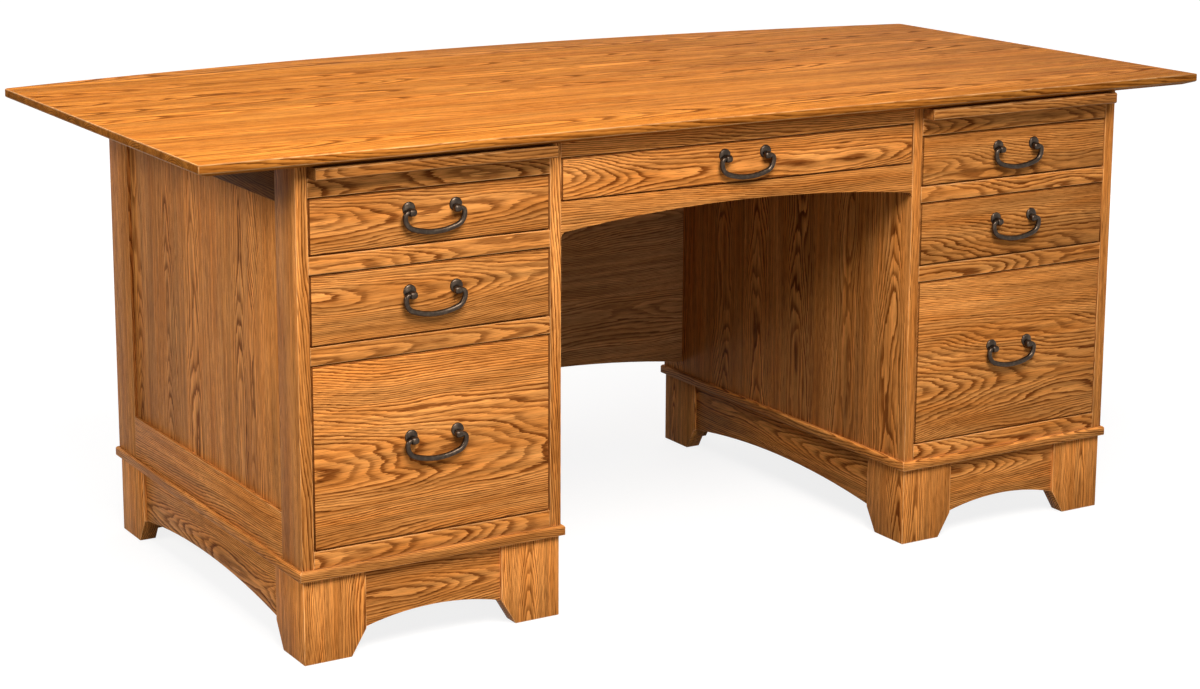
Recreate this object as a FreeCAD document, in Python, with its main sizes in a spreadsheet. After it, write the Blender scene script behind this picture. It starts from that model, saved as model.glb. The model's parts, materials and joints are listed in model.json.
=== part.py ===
import FreeCAD, Part
import math
import os
import re
import Sketcher
from FreeCAD import Placement, Rotation, Vector

# An executive desk of stained oak: a bowed top on two drawer pedestals, with a kneehole between them.
# X runs along the front from the user's left to the right, Y from the user to the back, Z up.
# The origin lies on the floor under the middle of the top. Every length is in millimetres.

doc = FreeCAD.newDocument("executive_desk")
sheet = doc.addObject("Spreadsheet::Sheet", "Sizes")

DRIVING_SIZES = {
    # the top
    "desk_height": 757,
    "top_width": 1829,
    "top_depth": 927,
    "top_thick": 19,
    "bow_rise": 99,
    "front_overhang": 33,
    "top_corner_round": 10,
    "top_corner_run": 6.5,
    "under_bevel_rise": 6,
    "under_bevel_run": 16,
    # the pedestal cases
    "side_overhang": 155.5,
    "pedestal_width": 430,
    "pedestal_depth": 740,
    "side_thick": 19,
    "front_stile": 70,
    "rear_stile": 77,
    "back_stile": 60,
    "upper_rail": 62,
    "lower_rail": 70,
    "panel_thick": 6.5,
    "groove_depth": 10,
    "panel_play": 2,
    "bottom_thick": 12.7,
    # front rails and the openings between them; the file drawer's takes the height that is left
    "rail_height": 26.3,
    "rail_depth": 22,
    "middle_opening": 105.7,
    "shallow_opening": 84.4,
    "board_rail": 28.1,
    "board_slot": 20,
    # base band, feet and plinth rails
    "foot_height": 129,
    "foot_width": 100,
    "foot_thick": 28,
    "foot_setback": 2,
    "toe_width": 76,
    "toe_height": 40,
    "band_height": 15.5,
    "band_proud": 5.3,
    "band_width": 55,
    "band_round": 4,
    "plinth_thick": 19,
    "plinth_setback": 5,
    "arch_spring": 40,
    "front_arch_rise": 15,
    "side_arch_rise": 20,
    # kneehole
    "centre_rail": 25.4,
    "centre_opening": 67.2,
    "apron_thick": 19,
    "apron_crown": 26.4,
    "apron_spring": 45.8,
    "apron_ear": 9,
    "modesty_inset": 43,
    "modesty_thick": 19,
    "modesty_crown": 188.5,
    "modesty_spring": 163.5,
    # drawers
    "front_thick": 19,
    "front_gap": 2.3,
    "box_wall": 12.7,
    "box_floor": 6.4,
    "box_floor_lift": 9,
    "box_groove": 6,
    "box_lift": 10,
    "box_headroom": 15,
    "box_rear_gap": 42,
    "centre_box_length": 406,
    "pin_width": 7,
    "tail_flare": 1.8,
    # drawer slides
    "slide_thick": 12.7,
    "slide_height": 35,
    "slide_wall": 1.5,
    "slide_reach": 9.2,
    "slide_play": 0.4,
    "slide_lift": 5.5,
    # writing boards
    "board_thick": 18,
    "board_proud": 27,
    "board_rear_gap": 188,
    "board_play": 1,
    "board_bevel": 2,
    "runner_size": 19,
    # drop-bail pulls
    "post_spacing": 76,
    "pull_rise": 8,
    "rosette_radius": 9.5,
    "rosette_rise": 4.5,
    "rosette_thick": 3.2,
    "rosette_bevel": 2.2,
    "stem_radius": 3.8,
    "pivot_reach": 9,
    "knuckle_radius": 5.8,
    "knuckle_play": 0.3,
    "pin_radius": 1.7,
    "pin_clearance": 0.08,
    "pin_end_play": 0.5,
    "bail_width": 96,
    "bail_neck": 3.2,
    "bail_drop": 31,
    "bail_radius": 3.9,
    "shoulder_radius": 6,
    "corner_radius": 18,
    "corner_turn": 70,
}

for row, (alias, value) in enumerate(DRIVING_SIZES.items(), start=1):
    sheet.set(f"A{row}", str(value))
    sheet.setAlias(f"A{row}", alias)
doc.recompute()

SUB_PARTS = []


def linked(expression):
    """The expression with every driving size written as a cell of the sheet."""
    return re.sub(r"[a-z_]+", lambda word: f"Sizes.{word[0]}" if word[0] in DRIVING_SIZES else word[0],
                  str(expression))


def size(expression):
    """What an expression of driving sizes measures now."""
    return float(sheet.evalExpression(linked(expression)))


def bind(item, expressions):
    """Tie properties of an object to expressions of the driving sizes."""
    for path, expression in expressions.items():
        item.setExpression(path, linked(expression))


def place(item, x, y, z, turn=0):
    """Turn an object about the vertical and tie its position to the driving sizes."""
    item.Placement = Placement(Vector(), Rotation(Vector(0, 0, 1), turn))
    bind(item, {"Placement.Base.x": x, "Placement.Base.y": y, "Placement.Base.z": z})
    return item


def node(name, pieces):
    """Name a sub-part; several separate pieces make one group."""
    if len(pieces) == 1:
        sub_part = pieces[0]
    else:
        sub_part = doc.addObject("Part::Compound", name)
        sub_part.Links = pieces
    sub_part.Label = name
    SUB_PARTS.append(sub_part)


def board(name, x, y, z, length, width, height):
    """A plain sawn board with its lowest corner at x, y, z."""
    box = doc.addObject("Part::Box", name)
    bind(box, {"Length": length, "Width": width, "Height": height})
    return place(box, x, y, z)


def cut(name, base, *tools):
    """The base with each tool's shape taken out of it, one after the other."""
    for number, tool in enumerate(tools, start=1):
        result = doc.addObject("Part::Cut", f"{name}_cut{number}")
        result.Base = base
        result.Tool = tool
        base = result
    return base


def arc_radius(half_span, rise):
    """Radius of the arc that rises by that much over twice the half span."""
    return f"((({half_span})^2 + ({rise})^2) / (2 * ({rise})))"


def origin_plane(body, role):
    """One of the body's own origin planes."""
    return [item for item in body.Origin.OriginFeatures if item.Role == role][0]


def outline(body, name, plane, corners, arcs=None):
    """A closed sketch through the corners, each a pair of expressions.

    arcs maps the number of a corner to the radius of the arc that leaves it and the side it bulges to:
    1 for the left of the way round, -1 for the right.
    """
    arcs = arcs or {}
    sketch = body.newObject("Sketcher::SketchObject", name)
    sketch.AttachmentSupport = (origin_plane(body, plane), "")
    sketch.MapMode = "FlatFace"
    points = [Vector(size(across), size(up), 0) for across, up in corners]
    edges = []
    for index, start in enumerate(points):
        finish = points[(index + 1) % len(points)]
        if index in arcs:
            radius, side = size(arcs[index][0]), arcs[index][1]
            chord = finish - start
            rise = radius - math.sqrt(radius ** 2 - (chord.Length / 2) ** 2)
            left = Vector(-chord.y, chord.x, 0).normalize()
            middle = (start + finish) / 2 + left * (side * rise)
            number = sketch.addGeometry(Part.Arc(start, middle, finish), False)
        else:
            number = sketch.addGeometry(Part.LineSegment(start, finish), False)
        first = 1 if sketch.getPoint(number, 1).distanceToPoint(start) < 1e-6 else 2
        edges.append((number, first, 3 - first))

    def drive(kind, expression, *where):
        constraint = sketch.addConstraint(Sketcher.Constraint(kind, *where, size(expression)))
        sketch.setExpression(f"Constraints[{constraint}]", linked(expression))

    for index, (number, first, last) in enumerate(edges):
        following, its_first, _ = edges[(index + 1) % len(edges)]
        sketch.addConstraint(Sketcher.Constraint("Coincident", number, last, following, its_first))
        drive("DistanceX", corners[index][0], -1, 1, number, first)
        drive("DistanceY", corners[index][1], -1, 1, number, first)
        if index in arcs:
            drive("Radius", arcs[index][0], number)
    return sketch


def pad(body, sketch, length):
    """Thicken a sketch into a solid."""
    feature = body.newObject("PartDesign::Pad", f"{body.Name}_pad")
    feature.Profile = sketch
    feature.setExpression("Length", linked(length))
    return feature


def cut_through(body, sketch):
    """Cut a sketch through the whole solid, both ways from its plane."""
    feature = body.newObject("PartDesign::Pocket", f"{sketch.Name}_cut")
    feature.Profile = sketch
    feature.Type = "ThroughAll"
    feature.SideType = "Symmetric"
    return feature


def sketched_board(name, plane, corners, thickness, arcs=None):
    """A board sawn to an outline."""
    body = doc.addObject("PartDesign::Body", name)
    pad(body, outline(body, f"{name}_outline", plane, corners, arcs), thickness)
    return body


def ease(body, kind, wanted, **sizes):
    """Round or bevel the edges of the body's last feature that the test picks out."""
    doc.recompute()
    base = body.Tip
    picked = [f"Edge{number}" for number, edge in enumerate(base.Shape.Edges, start=1) if wanted(edge)]
    feature = body.newObject(f"PartDesign::{kind}", f"{base.Name}_{kind.lower()}")
    feature.Base = (base, picked)
    bind(feature, sizes)
    return feature


# Places that many pieces share.

FACE = "(front_overhang - top_depth / 2)"
BACK = f"({FACE} + pedestal_depth)"
CASE_FOOT = "(foot_height + band_height)"
TOP_UNDERSIDE = "(desk_height - top_thick)"
CASE_HEIGHT = f"({TOP_UNDERSIDE} - {CASE_FOOT})"
CASE_INSIDE = "(pedestal_width - 2 * side_thick)"
KNEE_WIDTH = "(top_width - 2 * side_overhang - 2 * pedestal_width)"
PEDESTAL_MIDDLE = "(top_width / 2 - side_overhang - pedestal_width / 2)"
SIDES = {"left": -1, "right": 1}


def from_outer_face(side, distance, width):
    """Lowest X of a piece that starts this far inside a pedestal's outer face."""
    outer = "(top_width / 2 - side_overhang)"
    if side == "left":
        return f"({distance}) - {outer}"
    return f"{outer} - ({distance}) - ({width})"


def flat_at(height):
    """A test for edges that lie level at that height."""
    def level(edge):
        box = edge.BoundBox
        return abs(box.ZMin - height) < 1e-4 and abs(box.ZMax - height) < 1e-4
    return level


# The top: one glued-up slab, straight in front and bowed at the back, bevelled underneath.

def make_desktop():
    half = "top_width / 2"
    straight_back = "top_depth / 2 - bow_rise"
    body = sketched_board("desktop", "XY_Plane",
                          [(f"-{half}", "-top_depth / 2"), (half, "-top_depth / 2"),
                           (half, straight_back), (f"-{half}", straight_back)],
                          "top_thick", {2: (arc_radius(half, "bow_rise"), -1)})
    bevel = ease(body, "Chamfer", flat_at(0), Size="under_bevel_rise", Size2="under_bevel_run")
    bevel.ChamferType = "Two distances"

    # The two back corners are rounded, from the straight end to the end of the bow, which slopes there.
    slope = f"(2 * atan(bow_rise / ({half})))"
    end_y = f"{straight_back} - top_corner_run"
    bow_x = f"{half} - top_corner_run * cos({slope})"
    bow_y = f"{straight_back} + top_corner_run * sin({slope})"
    beyond_x, beyond_y = f"{half} + top_corner_run", f"{bow_y} + top_corner_run"
    waste = [(half, end_y), (beyond_x, end_y), (beyond_x, beyond_y), (bow_x, beyond_y), (bow_x, bow_y)]
    for side, sign in SIDES.items():
        corners = [(f"{sign} * ({x})", y) for x, y in waste]
        corner = outline(body, f"desktop_{side}_corner", "XY_Plane", corners, {4: ("top_corner_round", sign)})
        cut_through(body, corner)
    place(body, 0, 0, TOP_UNDERSIDE)
    node("desktop", [body])


# Framed sides and backs: a thin panel in grooves, between two stiles and two rails with stub tenons.

def framed_panel(name, along, start, inner, width, first_stile, second_stile):
    """Four frame pieces and the panel, for a frame that runs along X or Y from start, inner face first."""
    inset = "(side_thick - panel_thick) / 2"
    seat = "(groove_depth - panel_play)"

    def piece(label, run, across, z, length, thick, height):
        if along == "X":
            return board(f"{name}_{label}", run, across, z, length, thick, height)
        return board(f"{name}_{label}", across, run, z, thick, length, height)

    def grooved(label, blank, run, z, length, height):
        groove = piece(f"{label}_groove", run, f"{inner} + {inset}", z, length, "panel_thick", height)
        return cut(f"{name}_{label}", blank, groove)

    near_edge = f"({start} + {first_stile})"
    far_edge = f"({start} + {width} - {second_stile})"
    clear = f"({width} - {first_stile} - {second_stile})"
    lower_top = f"({CASE_FOOT} + lower_rail)"
    upper_bottom = f"({TOP_UNDERSIDE} - upper_rail)"

    stiles = []
    for label, run, groove_run, stile in (("near_stile", start, f"{near_edge} - groove_depth", first_stile),
                                          ("far_stile", far_edge, far_edge, second_stile)):
        blank = piece(f"{label}_blank", run, inner, CASE_FOOT, stile, "side_thick", CASE_HEIGHT)
        stiles.append(grooved(label, blank, groove_run, CASE_FOOT, "groove_depth", CASE_HEIGHT))

    rails = []
    for label, z, height, groove_z in (("lower", CASE_FOOT, "lower_rail", f"{lower_top} - groove_depth"),
                                       ("upper", upper_bottom, "upper_rail", upper_bottom)):
        blank = piece(f"{label}_blank", near_edge, inner, z, clear, "side_thick", height)
        tenons = piece(f"{label}_tenons", f"{near_edge} - groove_depth", f"{inner} + {inset}", z,
                       f"{clear} + 2 * groove_depth", "panel_thick", height)
        rail = doc.addObject("Part::Fuse", f"{name}_{label}_tenoned")
        rail.Base = blank
        rail.Tool = tenons
        rails.append(grooved(f"{label}_rail", rail, f"{near_edge} - groove_depth", groove_z,
                             f"{clear} + 2 * groove_depth", "groove_depth"))

    panel = piece("panel_blank", f"{near_edge} - {seat}", f"{inner} + {inset}", f"{lower_top} - {seat}",
                  f"{clear} + 2 * {seat}", "panel_thick", f"{upper_bottom} - {lower_top} + 2 * {seat}")
    return stiles + rails, panel


# A pedestal: framed outer side, flat kneehole side, front rails, back, bottom and board runners.

# Heights of the openings in a pedestal's front, from the bottom upwards.
FILE_OPENING = (f"({CASE_HEIGHT} - 3 * rail_height - middle_opening - shallow_opening"
                " - board_rail - board_slot)")
OPENINGS = (FILE_OPENING, "middle_opening", "shallow_opening")


def opening_bottom(number):
    """Height of the lower edge of a pedestal's drawer opening, counted from the bottom."""
    below = " + ".join(OPENINGS[:number] + ("0",))
    return f"({CASE_FOOT} + {number + 1} * rail_height + {below})"


def make_pedestal(side):
    frame, panel = framed_panel(f"{side}_side", "Y", FACE, from_outer_face(side, 0, "side_thick"),
                                "pedestal_depth", "front_stile", "rear_stile")
    node(f"{side}_side_frame", frame)
    node(f"{side}_side_panel", [panel])
    knee_side = board(f"{side}_knee_side", from_outer_face(side, "pedestal_width - side_thick", "side_thick"),
                      FACE, CASE_FOOT, "side_thick", "pedestal_depth", CASE_HEIGHT)
    node(f"{side}_knee_side", [knee_side])

    inside = from_outer_face(side, "side_thick", CASE_INSIDE)
    rails = [board(f"{side}_rail_{number}", inside, FACE, f"{opening_bottom(number)} - rail_height",
                   CASE_INSIDE, "rail_depth", "rail_height") for number in range(len(OPENINGS))]
    rails.append(board(f"{side}_rail_under_board", inside, FACE, f"{TOP_UNDERSIDE} - board_slot - board_rail",
                       CASE_INSIDE, "rail_depth", "board_rail"))
    node(f"{side}_drawer_rails", rails)


def make_pedestal_insides():
    """Backs, bottoms and board runners, grouped over both pedestals."""
    frames, panels, bottoms, runners = [], [], [], []
    behind_rails = f"({FACE} + rail_depth)"
    run = f"({BACK} - side_thick - {behind_rails})"
    for side in SIDES:
        inside = from_outer_face(side, "side_thick", CASE_INSIDE)
        frame, panel = framed_panel(f"{side}_back", "X", inside, f"({BACK} - side_thick)", CASE_INSIDE,
                                    "back_stile", "back_stile")
        frames += frame
        panels.append(panel)
        bottoms.append(board(f"{side}_bottom", inside, behind_rails, CASE_FOOT,
                             CASE_INSIDE, run, "bottom_thick"))
        for label, distance in (("outer", "side_thick"),
                                ("inner", "pedestal_width - side_thick - runner_size")):
            runners.append(board(f"{side}_{label}_runner", from_outer_face(side, distance, "runner_size"),
                                 behind_rails, f"{TOP_UNDERSIDE} - board_slot - runner_size",
                                 "runner_size", run, "runner_size"))
    node("pedestal_back_frames", frames)
    node("pedestal_back_panels", panels)
    node("pedestal_bottoms", bottoms)
    node("writing_board_runners", runners)


# The base of a pedestal: mitred band, bracket feet and arched plinth rails.

# Each side of the base with its quarter turn: which way it faces, seen from the middle of the pedestal.
BASE_TURNS = {"front": 0, "inner": 90, "back": 180, "outer": 270}


def around_base(item, side, turn, out_x, out_y, z):
    """Place a piece on one side of the base: out_x and out_y are how far that side lies from the middle."""
    middle_x = f"({SIDES[side]} * {PEDESTAL_MIDDLE})"
    middle_y = f"({FACE} + pedestal_depth / 2)"
    steps = {0: (0, -1), 90: (1, 0), 180: (0, 1), 270: (-1, 0)}
    step_x, step_y = steps[turn]
    return place(item, f"{middle_x} + {step_x} * ({out_x})", f"{middle_y} + {step_y} * ({out_y})", z, turn)


def base_extents(beyond):
    """Half width and half depth of the base, this far beyond the case."""
    return f"(pedestal_width / 2 + {beyond})", f"(pedestal_depth / 2 + {beyond})"


def make_band(side):
    half_width, half_depth = base_extents("band_proud")
    strips = []
    for label, turn in BASE_TURNS.items():
        half = half_width if turn % 180 == 0 else half_depth
        strip = sketched_board(f"{side}_band_{label}", "XY_Plane",
                               [(f"-{half}", 0), (half, 0), (f"{half} - band_width", "band_width"),
                                (f"band_width - {half}", "band_width")], "band_height")
        crest = flat_at(size("band_height"))
        ease(strip, "Fillet", lambda edge: crest(edge) and edge.BoundBox.YMax < 1e-4, Radius="band_round")
        strips.append(around_base(strip, side, turn, half_width, half_depth, "foot_height"))
    node(f"{side}_base_band", strips)


def make_feet(side):
    """Bracket feet: an L of two boards, each tapering to a narrower toe."""
    half_width, half_depth = base_extents("-foot_setback")
    corners = {"front_near": (-1, -1, 0), "front_far": (1, -1, 90),
               "back_far": (1, 1, 180), "back_near": (-1, 1, 270)}
    feet = []
    for label, (step_x, step_y, turn) in corners.items():
        name = f"{side}_foot_{label}"
        foot = sketched_board(name, "XY_Plane",
                              [(0, 0), ("foot_width", 0), ("foot_width", "foot_thick"),
                               ("foot_thick", "foot_thick"), ("foot_thick", "foot_width"),
                               (0, "foot_width")], "foot_height")
        waste = [("toe_width", 0), ("foot_width", 0), ("foot_width", "toe_height")]
        for plane in ("XZ_Plane", "YZ_Plane"):
            cut_through(foot, outline(foot, f"{name}_toe_{plane[:2].lower()}", plane, waste))
        place(foot, f"{SIDES[side]} * {PEDESTAL_MIDDLE} + {step_x} * {half_width}",
              f"{FACE} + pedestal_depth / 2 + {step_y} * {half_depth}", 0, turn)
        feet.append(foot)
    node(f"{side}_feet", feet)


def make_plinth(side):
    """Arched rails between the feet, set back from the feet's faces."""
    half_width, half_depth = base_extents("-foot_setback")
    rails = []
    for label, turn in BASE_TURNS.items():
        across = turn % 180 == 0
        half = f"({half_width if across else half_depth} - foot_width)"
        rise = "front_arch_rise" if across else "side_arch_rise"
        rail = sketched_board(f"{side}_plinth_{label}", "XZ_Plane",
                              [(f"-{half}", "arch_spring"), (half, "arch_spring"),
                               (half, "foot_height"), (f"-{half}", "foot_height")],
                              "plinth_thick", {0: (arc_radius(half, rise), 1)})
        behind = "plinth_setback + plinth_thick"
        rails.append(around_base(rail, side, turn, f"{half_width} - ({behind})",
                                 f"{half_depth} - ({behind})", 0))
    node(f"{side}_plinth_rails", rails)


# The kneehole: a top rail and an arched apron in front, a modesty panel at the back.

CENTRE_TOP = f"({TOP_UNDERSIDE} - centre_rail)"
CENTRE_BOTTOM = f"({CENTRE_TOP} - centre_opening)"


def make_kneehole():
    half = f"{KNEE_WIDTH} / 2"
    node("centre_top_rail", [board("centre_top_rail", f"-{half}", FACE, CENTRE_TOP,
                                   KNEE_WIDTH, "rail_depth", "centre_rail")])
    spring = "-apron_spring"
    ear_tip = "-(apron_spring + apron_ear)"
    arch_half = f"({half} - apron_ear)"
    apron = sketched_board("centre_apron", "XZ_Plane",
                           [(f"-{half}", 0), (f"-{half}", ear_tip), (f"-{arch_half}", spring),
                            (arch_half, spring), (half, ear_tip), (half, 0)], "apron_thick",
                           {1: ("apron_ear", 1), 3: ("apron_ear", 1),
                            2: (arc_radius(arch_half, "(apron_spring - apron_crown)"), 1)})
    place(apron, 0, f"{FACE} + apron_thick", CENTRE_BOTTOM)
    node("centre_apron", [apron])

    modesty = sketched_board("modesty_panel", "XZ_Plane",
                             [(f"-{half}", "modesty_spring"), (half, "modesty_spring"),
                              (half, TOP_UNDERSIDE), (f"-{half}", TOP_UNDERSIDE)], "modesty_thick",
                             {0: (arc_radius(half, "(modesty_crown - modesty_spring)"), 1)})
    place(modesty, 0, f"{BACK} - modesty_inset", 0)
    node("modesty_panel", [modesty])


# Drawers: an inset front, a dovetailed box and a pair of slides.

def channel(name, x, y, z, length, height, open_towards):
    """A steel channel along Y with its web on one side, open to the other."""
    blank = board(f"{name}_blank", x, y, z, "slide_reach", length, height)
    shift = "slide_wall" if open_towards > 0 else "0"
    hollow = board(f"{name}_hollow", f"{x} + {shift}", y, f"{z} + slide_wall", "slide_reach - slide_wall",
                   length, f"{height} - 2 * slide_wall")
    return cut(name, blank, hollow)


def dovetailed_side(name, x, y, z, length, height, tails):
    """A box side with a row of tails at each end."""
    pitch = f"(({height}) / {tails})"
    near_end, far_end = [], []
    for number in range(tails):
        low = f"({number} * {pitch} + pin_width / 2)"
        high = f"({number + 1} * {pitch} - pin_width / 2)"
        near_end += [("box_wall", f"{low} + tail_flare"), (0, low), (0, high),
                     ("box_wall", f"{high} - tail_flare")]
        far_end += [(f"{length} - box_wall", f"{low} + tail_flare"), (length, low), (length, high),
                    (f"{length} - box_wall", f"{high} - tail_flare")]
    corners = [("box_wall", 0)] + near_end + [("box_wall", height), (f"{length} - box_wall", height)]
    corners += far_end[::-1] + [(f"{length} - box_wall", 0)]
    return place(sketched_board(name, "YZ_Plane", corners, "box_wall"), x, y, z)


def make_box(name, middle, bottom, width, length, height, tails):
    """Two tailed sides, a box front and a box back with the sockets for the tails, and a floor in grooves."""
    front_end = f"({FACE} + front_thick)"
    floor_inset = "(box_wall - box_groove)"
    floor = board(f"{name}_floor", f"{middle} - {width} / 2 + {floor_inset}", f"{front_end} + {floor_inset}",
                  f"{bottom} + box_floor_lift", f"{width} - 2 * {floor_inset}",
                  f"{length} - 2 * {floor_inset}", "box_floor")
    sides = [dovetailed_side(f"{name}_{label}", f"{middle} + {shift}", front_end, bottom, length, height,
                             tails)
             for label, shift in (("near_side", f"-{width} / 2"), ("far_side", f"{width} / 2 - box_wall"))]
    pieces = [floor]
    for label, y in (("front", front_end), ("rear", f"{front_end} + {length} - box_wall")):
        blank = board(f"{name}_{label}_blank", f"{middle} - {width} / 2", y, bottom,
                      width, "box_wall", height)
        pieces.append(cut(f"{name}_{label}", blank, *sides, floor))
    pieces += [cut(f"{side.Name}_grooved", side, floor) for side in sides]
    return pieces


# Half the length of the knuckle that a bail's pin turns in, just clear of the bail's shoulder.
KNUCKLE_HALF = "(bail_width / 2 - shoulder_radius - post_spacing / 2 - knuckle_play)"


def polygon(radius, sides, middle="0", rise="0"):
    """Corners of a regular polygon that stands for a circle of that radius."""
    angles = [360 * (corner + 0.5) / sides for corner in range(sides)]
    return [(f"{middle} + {radius} * cos({angle})", f"{rise} + {radius} * sin({angle})") for angle in angles]


def make_post(name, x, z, hole_side):
    """A cast post: a bevelled rosette and, lower, a stem and a knuckle bored for the bail's pin."""
    body = doc.addObject("PartDesign::Body", name)
    disc = polygon("rosette_radius", sides=10, rise="rosette_rise")
    pad(body, outline(body, f"{name}_rosette", "XZ_Plane", disc), "rosette_thick")
    ease(body, "Chamfer", lambda edge: edge.BoundBox.YMax < -1e-4 and edge.BoundBox.YLength < 1e-4,
         Size="rosette_bevel")
    pad(body, outline(body, f"{name}_stem", "XZ_Plane", polygon("stem_radius", sides=6)), "pivot_reach")
    section = polygon("knuckle_radius", sides=8, middle="-pivot_reach")
    knuckle = pad(body, outline(body, f"{name}_knuckle", "YZ_Plane", section), f"2 * {KNUCKLE_HALF}")
    knuckle.SideType = "Symmetric"

    hole = body.newObject("Sketcher::SketchObject", f"{name}_hole")
    hole.AttachmentSupport = (origin_plane(body, "YZ_Plane"), "")
    hole.MapMode = "FlatFace"
    bore = "pin_radius + pin_clearance"
    hole.addGeometry(Part.Circle(Vector(-size("pivot_reach"), 0, 0), Vector(0, 0, 1), size(bore)), False)
    hole.addConstraint(Sketcher.Constraint("PointOnObject", 0, 3, -1))
    reach = hole.addConstraint(Sketcher.Constraint("DistanceX", -1, 1, 0, 3, -size("pivot_reach")))
    radius = hole.addConstraint(Sketcher.Constraint("Radius", 0, size(bore)))
    bind(hole, {f"Constraints[{reach}]": "-pivot_reach", f"Constraints[{radius}]": bore})
    pocket = body.newObject("PartDesign::Pocket", f"{name}_bore")
    pocket.Profile = hole
    pocket.Reversed = hole_side > 0
    bind(pocket, {"Length": f"2 * {KNUCKLE_HALF}"})
    return place(body, x, FACE, z)


def bail_shape():
    """A drop bail that hangs from the X axis: a tapering bow with shoulders that turn in to the pins.

    Half the wire is a row of stations, from the middle of the bow to the end of the pin: X, Z, the heading
    of the wire in radians and its radius. A loft runs through a ring at each station and its mirror image.
    """
    half, drop = size("bail_width / 2"), size("bail_drop")
    corner, shoulder = size("corner_radius"), size("shoulder_radius")
    thick, neck, thin = size("bail_radius"), size("bail_neck"), size("pin_radius")
    turn = math.radians(size("corner_turn"))
    quarter = math.pi / 2
    spread = quarter - turn
    bow = (half - corner * (1 - math.cos(turn))) / math.cos(turn)
    corner_z = -drop + bow * (1 - math.sin(turn)) + corner * math.sin(turn)
    bow_steps, corner_steps, shoulder_steps, ring_sides = 2, 3, 2, 10

    stations = []
    for step in range(bow_steps):
        angle = spread * step / bow_steps
        stations.append((bow * math.sin(angle), bow - drop - bow * math.cos(angle), angle, thick))
    for step in range(corner_steps + 1):
        angle = turn * (1 - step / corner_steps)
        stations.append((half - corner * (1 - math.cos(angle)), corner_z - corner * math.sin(angle),
                         quarter - angle, thick + (neck - thick) * step / corner_steps))
    for step in range(shoulder_steps + 1):
        angle = quarter * step / shoulder_steps
        stations.append((half - shoulder * (1 - math.cos(angle)), shoulder * (math.sin(angle) - 1),
                         quarter + angle, neck + (thin - neck) * step / shoulder_steps))
    stations.append((size("post_spacing / 2 + pin_end_play"), 0, 2 * quarter, thin))

    def ring(x, z, heading, radius):
        corners = []
        for number in range(ring_sides + 1):
            angle = 2 * math.pi * (number + 0.5) / ring_sides
            across = radius * math.cos(angle)
            corners.append(Vector(x - across * math.sin(heading), radius * math.sin(angle),
                                  z + across * math.cos(heading)))
        return Part.makePolygon(corners)

    mirrored = [(-x, z, -heading, radius) for x, z, heading, radius in stations[:0:-1]]
    return Part.makeLoft([ring(*station) for station in mirrored + stations], True, True)


# Each drawer: its name; the opening's middle, lower edge, height and width; the box's length and the number
# of tails at each end of its sides.
BOX_LENGTH = "(pedestal_depth - front_thick - side_thick - box_rear_gap)"
DRAWERS = []
for pedestal, sign in SIDES.items():
    for position, (kind, tail_count) in enumerate((("file", 4), ("middle", 2), ("shallow", 2))):
        DRAWERS.append((f"{pedestal}_{kind}", f"({sign} * {PEDESTAL_MIDDLE})", opening_bottom(position),
                        OPENINGS[position], CASE_INSIDE, BOX_LENGTH, tail_count))
DRAWERS.append(("centre", "0", CENTRE_BOTTOM, "centre_opening", KNEE_WIDTH, "centre_box_length", 2))


def make_drawers():
    case_slides = []
    bail = bail_shape()
    for name, middle, bottom, opening, width, box_length, tails in DRAWERS:
        front = board(f"{name}_front", f"{middle} - {width} / 2 + front_gap", FACE, f"{bottom} + front_gap",
                      f"{width} - 2 * front_gap", "front_thick", f"{opening} - 2 * front_gap")
        node(f"{name}_front", [front])

        box_bottom = f"({bottom} + box_lift)"
        box_height = f"({opening} - box_lift - box_headroom)"
        box_width = f"({width} - 2 * slide_thick)"
        node(f"{name}_box", make_box(f"{name}_box", middle, box_bottom, box_width, box_length, box_height,
                                     tails))

        slides = []
        slide_start = f"({FACE} + front_thick)"
        slide_bottom = f"({box_bottom} + slide_lift)"
        nested = "(slide_wall + slide_play)"
        for label, towards in (("near", 1), ("far", -1)):
            if towards > 0:
                case_x = f"({middle} - {width} / 2)"
                drawer_x = f"({case_x} + slide_thick - slide_reach)"
            else:
                case_x = f"({middle} + {width} / 2 - slide_reach)"
                drawer_x = f"({middle} + {width} / 2 - slide_thick)"
            case_slides.append(channel(f"{name}_{label}_case_slide", case_x, slide_start, slide_bottom,
                                       box_length, "slide_height", towards))
            slides.append(channel(f"{name}_{label}_box_slide", drawer_x, slide_start,
                                  f"{slide_bottom} + {nested}", box_length,
                                  f"slide_height - 2 * {nested}", -towards))
        node(f"{name}_slides", slides)

        pull_height = f"({bottom} + {opening} / 2 + pull_rise)"
        posts = [make_post(f"{name}_{label}_post", f"{middle} + {away} * post_spacing / 2", pull_height, away)
                 for label, away in (("near", -1), ("far", 1))]
        node(f"{name}_pull_posts", posts)

        hanging = doc.addObject("Part::Feature", f"{name}_bail")
        hanging.Shape = bail
        place(hanging, middle, f"{FACE} - pivot_reach", pull_height)
        node(f"{name}_bail", [hanging])
    node("case_slides", case_slides)


# Writing boards: one over each pedestal's drawers, a little proud of the fronts.

def make_writing_board(side):
    width = f"({CASE_INSIDE} - 2 * board_play)"
    length = "(board_proud + pedestal_depth - side_thick - board_rear_gap)"
    name = f"{side}_writing_board"
    corners = [(0, 0), (width, 0), (width, length), (0, length)]
    body = sketched_board(name, "XY_Plane", corners, "board_thick")
    ease(body, "Chamfer", lambda edge: edge.BoundBox.YMax < 1e-4 and edge.BoundBox.ZLength < 1e-4,
         Size="board_bevel")
    place(body, from_outer_face(side, "side_thick + board_play", width), f"{FACE} - board_proud",
          f"{TOP_UNDERSIDE} - board_slot")
    node(name, [body])


make_desktop()
for hand in SIDES:
    make_pedestal(hand)
    make_band(hand)
    make_feet(hand)
    make_plinth(hand)
    make_writing_board(hand)
make_pedestal_insides()
make_kneehole()
make_drawers()
doc.recompute()

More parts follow.
